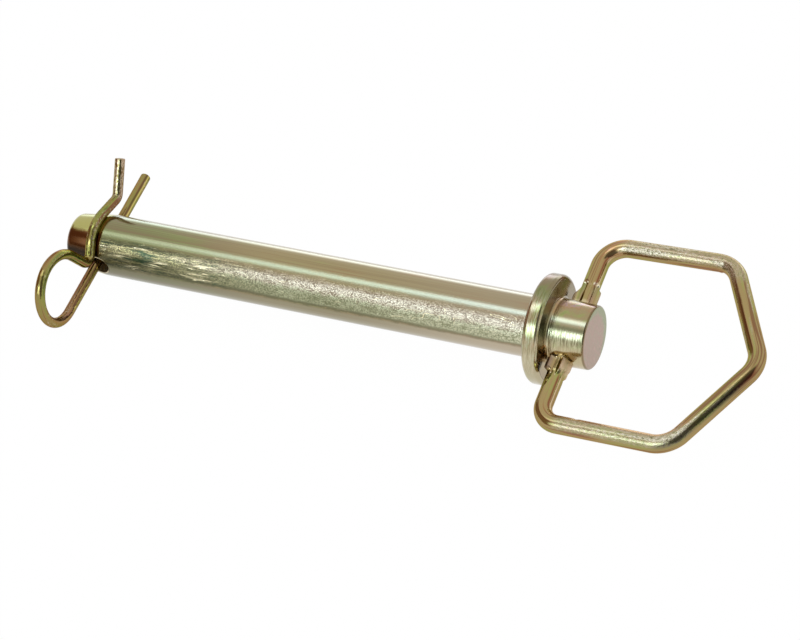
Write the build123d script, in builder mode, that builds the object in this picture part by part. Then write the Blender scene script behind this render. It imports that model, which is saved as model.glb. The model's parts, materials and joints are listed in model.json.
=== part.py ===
"""Hitch pin with a wire pull handle and a wire hairpin clip (millimetres).

Everything is drawn about the pin's own axis: X runs from the nose to the head,
the collar's seat is at X = 0 and the handle swings about Y. The last step lays
the set on a table, where it rests on the collar, the nose and the clip's loop.
"""
import os
from math import atan, cos, degrees, radians, sin, tan

from build123d import *

# pin: shank, nose, collar and head
shank_d = 19.05
shank_l = 144.6
nose_l = 12.9
nose_taper = 7.0
nose_edge = 1.3
collar_d = 33.5
collar_t = 5.1
collar_edge = 0.9
head_l = 11.9
head_base_d = 20.0
head_end_d = 19.4
head_foot = 0.9
head_edge = 0.5

# the two cross holes
wire_d = 5.5
swing_gap = 0.08
swing_x = 9.8
mouth_chamfer = 0.45
clip_hole_d = 6.4
clip_hole_past = 0.6
clip_hole_roll = 8.5

# handle: centre line of the wire, measured from the swing axis
handle_swing = 3.1
base_half_up = 32.3
base_half_low = 31.0
arm_up = 40.9
arm_low = 41.2
shoulder_half = 32.1
apex_reach = 59.0
base_bend_up = 7.5
base_bend_low = 6.2
shoulder_bend = 9.0
apex_bend = 9.0

# staked ears: four fins pressed up out of the wire on each side of the head
ear_gap = 0.4
ear_full = 2.6
ear_run = 3.8
fin_r = 4.1
fin_w = 1.0
valley_r = 2.0
fin_roll = 27.0
nick_x = 11.3
nick_w = 1.3
nick_depth = 0.35

# clip: leg through the hole, loop, wave over the nose, flared tip
clip_d = 3.2
leg_past = 1.05
leg_z = 0.65
leg_roll = 6.0
clip_lean = 4.9
leg_tip = 28.4
loop_start = -28.4
loop_r = 10.2
loop_turn = 195.0
shoulder_l = 6.4
shoulder_r = 13.5
rise = 47.0
fall = -15.0
rise_l = 12.3
fall_l = 16.6
flare = 45.0
tip_l = 12.3
tight_r = 2.6
hug_gap = 0.12

# how it lies on the table
lie_roll = 22.4

shank_r, collar_r, wire_r, clip_r = shank_d / 2, collar_d / 2, wire_d / 2, clip_d / 2
nose_end_r = shank_r - nose_l * tan(radians(nose_taper))
head_end_x = collar_t + head_l
clip_hole_x = -shank_l - clip_hole_past
leg_x = clip_hole_x - leg_past


def go(start, length, heading):
    """Point at a length and a heading in degrees from a start point."""
    return (start[0] + length * cos(radians(heading)), start[1] + length * sin(radians(heading)))


def at_corners(operation, shape, plane, corners):
    """Fillet or chamfer the vertex of a sketch or line nearest to each (x, y, size)."""
    for x, y, size in corners:
        spot = plane.from_local_coords(Vector(x, y, 0))
        operation(shape.vertices().sort_by_distance(spot)[0], size)


with BuildPart() as hitch_pin:
    with BuildSketch(Plane.XY) as turned:
        with BuildLine():
            Polyline(
                (-shank_l - nose_l, 0),
                (-shank_l - nose_l, nose_end_r),
                (-shank_l, shank_r),
                (0, shank_r),
                (0, collar_r),
                (collar_t, collar_r),
                (collar_t, head_base_d / 2),
                (head_end_x, head_end_d / 2),
                (head_end_x, 0),
                close=True,
            )
        make_face()
        at_corners(chamfer, turned, Plane.XY, (
            (-shank_l - nose_l, nose_end_r, nose_edge),
            (0, collar_r, collar_edge),
            (collar_t, collar_r, collar_edge),
            (collar_t, head_base_d / 2, head_foot),
            (head_end_x, head_end_d / 2, head_edge),
        ))
    revolve(axis=Axis.X)
    # hole for the handle, with its mouths broken
    with BuildSketch(Plane(origin=(swing_x, 0, 0), z_dir=(0, 1, 0))):
        Circle(wire_r + swing_gap)
    extrude(amount=collar_r, both=True, mode=Mode.SUBTRACT)
    mouths = hitch_pin.edges().filter_by(
        lambda e: abs(e.center().X - swing_x) < 0.5 and e.bounding_box().size.X < 1.2 * wire_d
        and e.bounding_box().size.Z > wire_r)
    chamfer(mouths, mouth_chamfer)
    # hole for the clip, through the start of the nose
    hole_dir = (0, cos(radians(clip_hole_roll)), -sin(radians(clip_hole_roll)))
    with BuildSketch(Plane(origin=(clip_hole_x, 0, 0), x_dir=(1, 0, 0), z_dir=hole_dir)):
        Circle(clip_hole_d / 2)
    extrude(amount=collar_r, both=True, mode=Mode.SUBTRACT)
hitch_pin.part.label = "hitch_pin"

swing = radians(handle_swing)
handle_plane = Plane(origin=(swing_x, 0, 0), x_dir=(cos(swing), 0, sin(swing)),
                     z_dir=(-sin(swing), 0, cos(swing)))
ear_start = head_base_d / 2 + ear_gap
ear_end = ear_start + ear_full + ear_run


def across_wire(side, y):
    return Plane(origin=(swing_x, side * y, 0), x_dir=(1, 0, 0), z_dir=(0, side, 0))


def star(tip_r, low_r, roll):
    """Corners of a four-finned section."""
    corners = []
    for k in range(4):
        a = radians(roll + 90 * k)
        for half in (-fin_w / 2, fin_w / 2):
            corners.append((tip_r * cos(a) - half * sin(a), tip_r * sin(a) + half * cos(a)))
        corners.append(go((0, 0), low_r, roll + 90 * k + 45))
    return corners


with BuildPart() as handle:
    with BuildLine(handle_plane) as bail:
        Polyline((0, 0), (0, base_half_up), (arm_up, shoulder_half), (apex_reach, 0),
                 (arm_low, -shoulder_half), (0, -base_half_low), close=True)
        at_corners(fillet, bail, handle_plane, (
            (0, base_half_up, base_bend_up),
            (arm_up, shoulder_half, shoulder_bend),
            (apex_reach, 0, apex_bend),
            (arm_low, -shoulder_half, shoulder_bend),
            (0, -base_half_low, base_bend_low),
        ))
    with BuildSketch(Plane(origin=handle_plane.origin, z_dir=(0, 1, 0))):
        Circle(wire_r)
    sweep(path=bail.wires()[0])
    for side in (1, -1):
        roll = -side * fin_roll
        with BuildSketch(across_wire(side, ear_start)):
            Circle(fin_r)
        extrude(amount=ear_full + ear_run, mode=Mode.SUBTRACT)
        with BuildSketch(across_wire(side, ear_start)):
            Polygon(*star(fin_r, valley_r, roll), align=None)
        extrude(amount=ear_full)
        with BuildSketch(across_wire(side, ear_start + ear_full)):
            Polygon(*star(fin_r, valley_r, roll), align=None)
        with BuildSketch(across_wire(side, ear_end)):
            Polygon(*star(wire_r, wire_r * 0.95, roll), align=None)
        loft(ruled=True)
    # small cut left by a tool on the inner side of the lower arm
    with Locations(handle_plane.from_local_coords(Vector(nick_x, wire_r - base_half_low, 0))):
        Box(nick_w, 2 * nick_depth, wire_d, mode=Mode.SUBTRACT)
handle.part.label = "handle"

# plane of the clip: x along the leg, y out to the wave
lean, leg_a = radians(clip_lean), radians(leg_roll)
leg_dir = Vector(0, cos(leg_a), -sin(leg_a))
out_dir = Vector(-sin(lean), cos(lean) * sin(leg_a), cos(lean) * cos(leg_a))
clip_plane = Plane(origin=(leg_x, 0, leg_z), x_dir=leg_dir, z_dir=leg_dir.cross(out_dir))
pin_axis = (leg_z * sin(leg_a), -leg_z * cos(leg_a) * cos(lean))
wave_x = leg_x - shank_r * sin(lean)
hug_r = shank_r - (-shank_l - wave_x) * tan(radians(nose_taper)) + clip_r + hug_gap
crest = go(pin_axis, hug_r / cos(radians((rise - fall) / 2)), 90 + (rise + fall) / 2)
dip = go(crest, -rise_l, rise)
trough = go(crest, fall_l, fall)
tip = go(trough, tip_l, flare)
loop_end = go((loop_start, loop_r), loop_r, 270 - loop_turn)
shoulder = go(loop_end, shoulder_l, 180 - loop_turn)

with BuildPart() as hairpin_clip:
    with BuildLine(clip_plane) as bent:
        Line((leg_tip, 0), (loop_start, 0))
        JernArc(start=(loop_start, 0), tangent=(-1, 0), radius=loop_r, arc_size=-loop_turn)
        Polyline(loop_end, shoulder, dip, crest, trough, tip)
        at_corners(fillet, bent, clip_plane, (
            (*shoulder, shoulder_r),
            (*dip, tight_r),
            (*crest, hug_r),
            (*trough, tight_r),
        ))
    with BuildSketch(Plane(origin=clip_plane.from_local_coords(Vector(leg_tip, 0, 0)), z_dir=leg_dir)):
        Circle(clip_r)
    sweep(path=bent.wires()[0])
hairpin_clip.part.label = "hairpin_clip"

# lay the set down: the collar and the nose's edge touch the table
lie_pitch = degrees(atan((collar_r - shank_r) / (shank_l + collar_edge)))
lying = Rotation(0, -lie_pitch, 0) * Rotation(lie_roll, 0, 0)
pieces = [hitch_pin.part, handle.part, hairpin_clip.part]
laid = [lying * piece for piece in pieces]
box = Compound(laid).bounding_box()
down = Pos(-box.center().X, -box.center().Y, -box.min.Z)
os.makedirs("parts", exist_ok=True)
for piece in laid:
    export_step(down * piece, f"parts/{piece.label}.step")
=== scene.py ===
"""Looks for a yellow zinc plated hitch pin with a pull handle and a hairpin clip."""
import json
import math
from collections import namedtuple

import bmesh
import bpy
from bpy.props import FloatProperty, FloatVectorProperty, IntProperty, PointerProperty
from mathutils import Matrix, Vector


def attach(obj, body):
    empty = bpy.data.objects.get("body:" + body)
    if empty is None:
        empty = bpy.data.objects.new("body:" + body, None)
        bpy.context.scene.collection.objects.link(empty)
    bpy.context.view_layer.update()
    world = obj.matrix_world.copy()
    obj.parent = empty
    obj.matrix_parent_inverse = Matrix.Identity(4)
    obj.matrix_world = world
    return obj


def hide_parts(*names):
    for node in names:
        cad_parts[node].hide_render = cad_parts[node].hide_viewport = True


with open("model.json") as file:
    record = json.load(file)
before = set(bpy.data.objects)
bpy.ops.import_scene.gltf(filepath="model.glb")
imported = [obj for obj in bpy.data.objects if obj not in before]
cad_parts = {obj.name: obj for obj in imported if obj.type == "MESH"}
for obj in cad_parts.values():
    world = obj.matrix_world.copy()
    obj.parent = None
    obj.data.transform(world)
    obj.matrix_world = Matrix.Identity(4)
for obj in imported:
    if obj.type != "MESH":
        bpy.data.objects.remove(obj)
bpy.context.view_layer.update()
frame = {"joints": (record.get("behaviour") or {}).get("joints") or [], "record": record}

bl_info = {
    "name": "Hitch Pin Looks",
    "version": (1, 0, 0),
    "blender": (4, 5, 0),
    "location": "View3D > Sidebar > Hitch Pin",
    "description": "Plated pin, pull handle and hairpin clip around a fixed frame",
    "category": "Object",
}

MM = 0.001
DEGREES = math.degrees(1)
# degrees past which an edge is shaded sharp
SHARP = 34
MOUNTS = {m["name"]: m for m in frame["record"]["mounts"]}
JOINTS = {j["name"]: j for j in frame["joints"]}


# ---------------------------------------------------------------- sizes

def mm(name, default, about="Size"):
    return FloatProperty(name=name, description=about + ", in mm", default=default)


def degrees(name, default, about="Angle"):
    return FloatProperty(name=name, description=about + ", in degrees", default=default)


def film_colour(name, about, default):
    return FloatVectorProperty(name=name, description=about, subtype="COLOR", default=default)


class PinSizes(bpy.types.PropertyGroup):
    """Turned body, in millimetres along and out from its own axis"""

    shank_d: mm("Shank diameter", 2 * MOUNTS["shank"]["dims"]["r_mm"], "Bar diameter")
    shank_l: mm("Shank length", 144.6, "From the seat to the nose")
    nose_l: mm("Nose length", 12.9, "Tapered end")
    nose_taper: degrees("Nose taper", 7.0, "Half angle")
    collar_d: mm("Collar diameter", 33.5)
    collar_t: mm("Collar thickness", 5.1)
    head_l: mm("Head length", 11.9, "Beyond the collar")
    head_base_d: mm("Head base", 20.0, "Diameter at the collar")
    head_end_d: mm("Head end", 19.4, "Diameter at the end")
    swing_x: mm("Handle hole", 9.8, "From the seat")
    clip_hole_x: mm("Clip hole", -145.2, "From the seat")
    clip_hole_d: mm("Clip hole diameter", 6.4)
    clip_hole_roll: degrees("Clip hole roll", 8.5)
    swing_gap: mm("Handle clearance", 0.08, "Radial")
    steps: IntProperty(name="Turning steps", description="Faces round the body", default=160, min=24)


class HandleSizes(bpy.types.PropertyGroup):
    """Pull handle, in millimetres from the axis that it swings about"""

    wire_d: mm("Wire diameter", 5.5)
    swing: degrees("Swing", 3.1, "Rest angle")
    base_half_up: mm("Upper side", 32.3, "From the pin's axis")
    base_half_low: mm("Lower side", 31.0, "From the pin's axis")
    base_bend_up: mm("Upper bend", 7.5, "Radius")
    base_bend_low: mm("Lower bend", 6.2, "Radius")
    arm_up: mm("Upper arm", 40.9, "Length to its shoulder")
    arm_low: mm("Lower arm", 41.2, "Length to its shoulder")
    shoulder_half: mm("Shoulders", 32.1, "From the middle")
    apex_reach: mm("Reach", 59.0, "From the swing axis to the tip")
    far_bend: mm("Far bends", 9.0, "Radius at shoulders and tip")
    ear_gap: mm("Ear gap", 0.4, "Between the head and the ears")
    ear_full: mm("Ear length", 2.6, "Length at full width")
    ear_run: mm("Ear run-out", 3.8, "Length of the run-out")
    valley_r: mm("Groove depth", 2.1, "From the wire's centre")
    steps: IntProperty(name="Steps round the wire", description="Faces round the wire", default=128, min=12)


class ClipSizes(bpy.types.PropertyGroup):
    """Hairpin clip, in millimetres along its straight leg"""

    wire_d: mm("Wire diameter", 3.2)
    leg_x: mm("Leg place", -146.25, "Along the pin from the seat")
    leg_z: mm("Leg height", 0.65, "Above the pin's axis")
    leg_roll: degrees("Leg roll", 6.0)
    lean: degrees("Lean", 4.9)
    leg_tip: mm("Leg tip", 28.4, "From the pin's axis")
    loop_r: mm("Loop radius", 10.2)
    loop_turn: degrees("Loop turn", 195.0)
    shoulder_l: mm("Shoulder", 6.4, "Length past the loop")
    shoulder_r: mm("Shoulder bend", 13.5, "Radius")
    rise: degrees("Rise", 47.0, "Slope before the crest")
    rise_l: mm("Rise length", 12.3)
    fall: degrees("Fall", -15.0, "Slope after the crest")
    fall_l: mm("Fall length", 16.6)
    flare: degrees("Flare", 45.0, "Slope of the tip")
    tip_l: mm("Tip length", 12.3)
    tight_r: mm("Tight bends", 2.6, "Radius")
    hug_gap: mm("Crest gap", 0.12, "Between the wave and the nose")
    steps: IntProperty(name="Steps round the wire", description="Faces round the wire", default=40, min=12)


class StageSizes(bpy.types.PropertyGroup):
    """Floor and camera"""

    floor: FloatProperty(name="Floor", description="Width of the floor", default=6.0, unit="LENGTH")
    camera_at: FloatVectorProperty(name="Camera place", description="From the pin's seat",
                                   default=(0.320092, -0.764645, 0.599902), unit="LENGTH")
    camera_turn: FloatVectorProperty(name="Camera turn", description="XYZ Euler angles", subtype="EULER",
                                     default=tuple(math.radians(a) for a in (54.27, 1.7594, 24.3423)))
    camera_lens: FloatProperty(name="Focal length", description="In mm on a 36 mm sensor", default=155.43)


class PlatingColours(bpy.types.PropertyGroup):
    """Colours of the plating"""

    gold: film_colour("Gold", "Main film colour", (0.335, 0.268, 0.135))
    moss: film_colour("Moss", "Thinnest film", (0.17, 0.23, 0.075))
    lime: film_colour("Lime", "Thin film", (0.30, 0.335, 0.115))
    tan: film_colour("Tan", "Thick film", (0.36, 0.225, 0.105))
    rose: film_colour("Rose", "Thicker film", (0.42, 0.27, 0.21))
    mauve: film_colour("Mauve", "Thickest film", (0.36, 0.22, 0.25))
    teal: film_colour("Teal", "Dark film left at the nose's end", (0.035, 0.088, 0.042))
    bare: film_colour("Rubbed", "Rubbed zinc", (0.60, 0.56, 0.44))
    stain: film_colour("Stain", "Brown streaks", (0.17, 0.065, 0.03))


# ---------------------------------------------------------------- places

def pin_frame():
    """The pin's own frame in mm: X from nose to head, Y along the handle's hinge, zero at the seat."""
    along = -Vector(MOUNTS["shank"]["axis"]).normalized()
    hinge = -Vector(JOINTS["handle_swing"]["axis"]).normalized()
    up = along.cross(hinge).normalized()
    seat = Vector(JOINTS["handle_swing"]["pos_m"]) - along * sizes("pin").swing_x * MM
    turn = Matrix((along, hinge, up)).transposed().to_4x4()
    return Matrix.Translation(seat) @ turn @ Matrix.Scale(MM, 4)


def sizes(group):
    """The scene's settings of one group."""
    return getattr(bpy.context.scene, "hitch_" + group)


def plane(origin, x_axis, y_axis):
    """Matrix of a drawing plane, in the pin's frame."""
    x, y = Vector(x_axis).normalized(), Vector(y_axis).normalized()
    turn = Matrix((x, y, x.cross(y))).transposed().to_4x4()
    return Matrix.Translation(Vector(origin)) @ turn


# ---------------------------------------------------------------- mesh tools

def finish_piece(bm, name, body, node, finish):
    """Turn a closed bmesh in the pin's frame into a piece at the origin that rides on a body."""
    if not bm.faces or any(not edge.is_manifold for edge in bm.edges):
        raise RuntimeError(name + " is not closed")
    bmesh.ops.transform(bm, matrix=pin_frame(), verts=bm.verts)
    bmesh.ops.recalc_face_normals(bm, faces=bm.faces)
    piece = to_object(bm, name)
    piece.data.shade_smooth()
    piece.data.set_sharp_from_angle(angle=math.radians(SHARP))
    piece.data.materials.append(finish)
    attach(piece, body)
    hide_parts(node)
    return piece


def even_shading(piece):
    """Flat faces keep their own direction next to rounded edges."""
    weighted = piece.modifiers.new("Even shading", "WEIGHTED_NORMAL")
    weighted.weight, weighted.keep_sharp = 60, True


class Wire:
    """A round wire drawn along straight runs and bends in a plane."""

    def __init__(self, radius, steps, start, heading, drawing):
        self.bm = bmesh.new()
        self.unbent = self.bm.verts.layers.float_vector.new("unbent")
        self.pressed = self.bm.verts.layers.float_vector.new("pressed")
        self.drawing = drawing
        self.normal = drawing.to_3x3().col[2].normalized()
        self.at, self.heading, self.length = Vector(start), heading, 0.0
        self.outward, self.bends = {}, []
        across = self.direction(90)
        place = Matrix((across, self.normal, across.cross(self.normal))).transposed().to_4x4()
        place.translation = self.point(self.at)
        made = bmesh.ops.create_circle(self.bm, cap_ends=False, radius=radius, segments=steps)
        for vert in made["verts"]:
            vert[self.unbent] = (0.0, vert.co.x, vert.co.y)
        bmesh.ops.transform(self.bm, matrix=place, verts=made["verts"])
        self.first = list(self.bm.edges)
        self.ring = made["verts"] + self.first
        self._note()

    def direction(self, turn=0.0):
        """The way that the wire heads, turned by degrees in its plane."""
        angle = math.radians(self.heading + turn)
        return (self.drawing.to_3x3() @ Vector((math.cos(angle), math.sin(angle), 0))).normalized()

    def point(self, flat):
        """A place of the drawing, in the pin's frame."""
        return self.drawing @ Vector((flat[0], flat[1], 0))

    def _note(self):
        """Write the unbent place of the newest ring, and which way out of the wire each vertex lies."""
        across = self.direction(90)
        for vert in self.ring:
            if isinstance(vert, bmesh.types.BMVert):
                flat = vert[self.unbent]
                vert[self.unbent] = (self.length, flat[1], flat[2])
                self.outward[vert] = (across * flat[1] + self.normal * flat[2]).normalized()

    def _step(self, amount, **how):
        """Draw the last ring on by one step."""
        made = bmesh.ops.spin(self.bm, geom=self.ring, steps=1, use_duplicate=False, use_merge=False, **how)
        self.ring = made["geom_last"]
        self.length += amount
        self._note()

    def run(self, length, pitch):
        """A straight run, divided about every pitch."""
        count = max(1, round(length / pitch))
        step = self.direction() * (length / count)
        for _ in range(count):
            self._step(length / count, dvec=step, angle=0.0, cent=(0, 0, 0), axis=self.normal)
        turn = math.radians(self.heading)
        self.at = self.at + Vector((math.cos(turn), math.sin(turn))) * length

    def bend(self, turn, radius, pitch):
        """A bend to the left for a positive turn in degrees, with one ring about every pitch degrees."""
        side = math.copysign(1.0, turn)
        a = math.radians(self.heading + 90 * side)
        centre = self.at + Vector((math.cos(a), math.sin(a))) * radius
        count = max(2, round(abs(turn) / pitch))
        start = self.length
        for _ in range(count):
            self.heading += turn / count
            self._step(math.radians(abs(turn)) * radius / count, dvec=(0, 0, 0),
                       angle=math.radians(turn) / count, cent=self.point(centre), axis=self.normal)
        self.bends.append((start, self.length))
        a = math.radians(self.heading - 90 * side)
        self.at = centre + Vector((math.cos(a), math.sin(a))) * radius

    def through(self, corners, pitch, bend_pitch):
        """Runs and bends through (x, y, radius) corners; the last one is the end."""
        for here, after in zip(corners, corners[1:]):
            spot, then = Vector(here[:2]), Vector(after[:2])
            way_in, way_out = spot - self.at, then - spot
            turn = math.degrees(-way_in.angle_signed(way_out))
            cut = here[2] * math.tan(math.radians(abs(turn)) / 2)
            self.heading = math.degrees(math.atan2(way_in.y, way_in.x))
            self.run(way_in.length - cut, pitch)
            self.bend(turn, here[2], bend_pitch)
        self.run((Vector(corners[-1][:2]) - self.at).length, pitch)

    def ends(self, edge):
        """Close both ends with a slightly rounded edge."""
        last = [e for e in self.ring if isinstance(e, bmesh.types.BMEdge)]
        for loop in (self.first, last):
            bmesh.ops.contextual_create(self.bm, geom=loop)
            round_edges(self.bm, loop, edge, 3)


def round_edges(bm, edges, size, segments):
    """Round edges off by a size in mm."""
    bmesh.ops.bevel(bm, geom=edges, offset=size, offset_type="OFFSET", segments=segments, profile=0.5,
                    affect="EDGES", material=-1)


def turn_line(bm, points, axis, steps):
    """Turn a line of points all the way round an axis, as a closed solid."""
    verts = [bm.verts.new(point) for point in points]
    edges = [bm.edges.new(pair) for pair in zip(verts, verts[1:])]
    bmesh.ops.spin(bm, geom=verts + edges, cent=(0, 0, 0), axis=axis, dvec=(0, 0, 0), angle=2 * math.pi,
                   steps=steps, use_merge=True, use_duplicate=False)
    bmesh.ops.remove_doubles(bm, verts=bm.verts, dist=1e-4)


def to_object(bm, name):
    """Hand a bmesh over to a new object in the scene."""
    mesh = bpy.data.meshes.new(name)
    bm.to_mesh(mesh)
    bm.free()
    made = bpy.data.objects.new(name, mesh)
    bpy.context.scene.collection.objects.link(made)
    return made


# ---------------------------------------------------------------- shader tools

class Shade:
    """One socket of a finish; arithmetic on it adds Math nodes."""

    def __init__(self, finish, socket):
        self.finish, self.socket = finish, socket

    def _maths(self, operation, *terms):
        return self.finish.node("ShaderNodeMath", {"operation": operation}, dict(enumerate(terms)))

    def __add__(self, other):
        return self._maths("ADD", self, other)

    def __sub__(self, other):
        return self._maths("SUBTRACT", self, other)

    def __rsub__(self, other):
        return self._maths("SUBTRACT", other, self)

    def __mul__(self, other):
        return self._maths("MULTIPLY", self, other)

    def __pow__(self, other):
        return self._maths("POWER", self, other)

    def __abs__(self):
        return self._maths("ABSOLUTE", self)

    __radd__, __rmul__ = __add__, __mul__


class Nodes:
    """A node tree that is filled in code, with the colour that has been painted so far."""

    def __init__(self, owner):
        owner.use_nodes = True
        self.tree = owner.node_tree
        self.tree.nodes.clear()
        self.colour = None

    def node(self, kind, settings=None, sockets=None, out=0):
        """Add a node with its settings and sockets; gives the output, or the node where it has none."""
        made = self.tree.nodes.new(kind)
        for key, value in (settings or {}).items():
            if key == "stops":
                for _ in value[2:]:
                    made.color_ramp.elements.new(0.5)
                for element, (place, colour) in zip(made.color_ramp.elements, value):
                    element.position, element.color = place, (*colour, 1.0)
            else:
                setattr(made, key, value)
        for key, value in (sockets or {}).items():
            if isinstance(value, Shade):
                self.tree.links.new(value.socket, made.inputs[key])
            else:
                made.inputs[key].default_value = value
        return Shade(self, made.outputs[out]) if len(made.outputs) else made

    def outputs(self, kind, *names):
        """Add a node and give its outputs by name."""
        made = self.tree.nodes.new(kind)
        return [Shade(self, made.outputs[name]) for name in names]

    def dot(self, vector, direction):
        return self.node("ShaderNodeVectorMath", {"operation": "DOT_PRODUCT"}, {0: vector, 1: direction}, 1)

    def angle(self, height, reach):
        """Angle in degrees, from the arctangent of two shares."""
        return self.node("ShaderNodeMath", {"operation": "ARCTAN2"}, {0: height, 1: reach}) * DEGREES

    def join(self, *terms):
        return self.node("ShaderNodeCombineXYZ", None, dict(enumerate(terms)))

    def place(self):
        """Object coordinates in the pin's own frame, in millimetres."""
        where = self.node("ShaderNodeTexCoord", out=3)
        at, turn, _ = pin_frame().decompose()
        return self.node("ShaderNodeMapping", {"vector_type": "TEXTURE"}, {
            "Vector": where, "Location": at, "Rotation": turn.to_euler(), "Scale": (MM, MM, MM)})

    def noted(self, layer):
        """What a layer of the mesh notes, such as the place on a wire as if it were straight."""
        settings = {"attribute_type": "GEOMETRY", "attribute_name": layer}
        return self.node("ShaderNodeAttribute", settings, out=1)

    def parts(self, vector):
        split = self.node("ShaderNodeSeparateXYZ", None, {0: vector})
        outputs = split.socket.node.outputs
        return [Shade(self, outputs[k]) for k in range(3)]

    def noise(self, vector, scale=None, detail=2.0, rough=0.5, warp=0.0, turn=(0, 0, 0), shift=(0, 0, 0)):
        """Noise about 0.5 on a vector, which is scaled, turned and shifted first."""
        if scale:
            vector = self.node("ShaderNodeMapping", None,
                               {"Vector": vector, "Scale": scale, "Rotation": turn, "Location": shift})
        return self.node("ShaderNodeTexNoise", None, {
            "Vector": vector, "Scale": 1.0, "Detail": detail, "Roughness": rough, "Distortion": warp})

    def step(self, value, low, high):
        """0 below low, 1 above high, smooth between; falls where low is above high."""
        if low > high:
            return 1.0 - self.step(value, high, low)
        return self.node("ShaderNodeMapRange", {"interpolation_type": "SMOOTHSTEP", "clamp": True},
                         {0: value, 1: low, 2: high, 3: 0.0, 4: 1.0})

    def hump(self, value, middle, half):
        """1 at the middle, falling to 0 at half away from it."""
        return self.step(abs(value - middle), half, 0.0)

    def mix(self, factor, first, second, how="MIX"):
        """Mix two colours, each a socket, three numbers or the name of a tint."""
        mixed = self.node("ShaderNodeMix", {"data_type": "RGBA", "blend_type": how, "clamp_factor": True})
        sockets = mixed.socket.node.inputs
        for socket, value in ((sockets[0], factor), (sockets[6], first), (sockets[7], second)):
            if isinstance(value, Shade):
                self.tree.links.new(value.socket, socket)
            elif isinstance(value, float):
                socket.default_value = value
            else:
                socket.default_value = (*TINTS.get(value, value), 1.0)
        return Shade(self, mixed.socket.node.outputs[2])

    def paint(self, mask, tint, how="MIX"):
        """Lay a tint over the colour so far."""
        self.colour = self.mix(mask, self.colour, tint, how)

    def film(self, thickness):
        """Colour of the chromate film for a thickness from 0 to 1."""
        colours = sizes("plating")
        stops = ((0.0, colours.moss), (0.22, colours.lime), (0.44, colours.gold), (0.58, colours.gold),
                 (0.72, colours.tan), (0.84, colours.rose), (0.93, colours.mauve), (1.0, colours.lime))
        stops = [(place, tuple(colour)) for place, colour in stops]
        return self.node("ShaderNodeValToRGB", {"stops": stops}, {0: thickness})

    def bump(self, height):
        """A bumped normal from a height in millimetres."""
        return self.node("ShaderNodeBump", None, {"Height": height, "Strength": 1.0, "Distance": MM})

    def metal(self, roughness, normal, rim=(1.0, 1.0, 1.0)):
        """Plated metal in the painted colour, tinted towards its rim under a thin clear coat."""
        shader = self.node("ShaderNodeBsdfPrincipled", None, {
            "Base Color": self.colour, "Metallic": 1.0, "Roughness": roughness, "Normal": normal,
            "Specular Tint": (*rim, 1.0), "Coat Weight": 0.25, "Coat Roughness": 0.06, "Coat IOR": 1.5})
        self.node("ShaderNodeOutputMaterial", None, {"Surface": shader})


# ---------------------------------------------------------------- finishes

# the body's front faces ahead; angles grow towards the side below it
AHEAD, BELOW = (0, -0.5, 0.866), (0, -0.866, -0.5)
# mm round the body for each degree
ARC = 0.166
# where the rubbed part of the body starts and ends, in degrees below the front
RUBBED_TOP, RUBBED_FOOT = (-14, -4), (44, 38)
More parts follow.
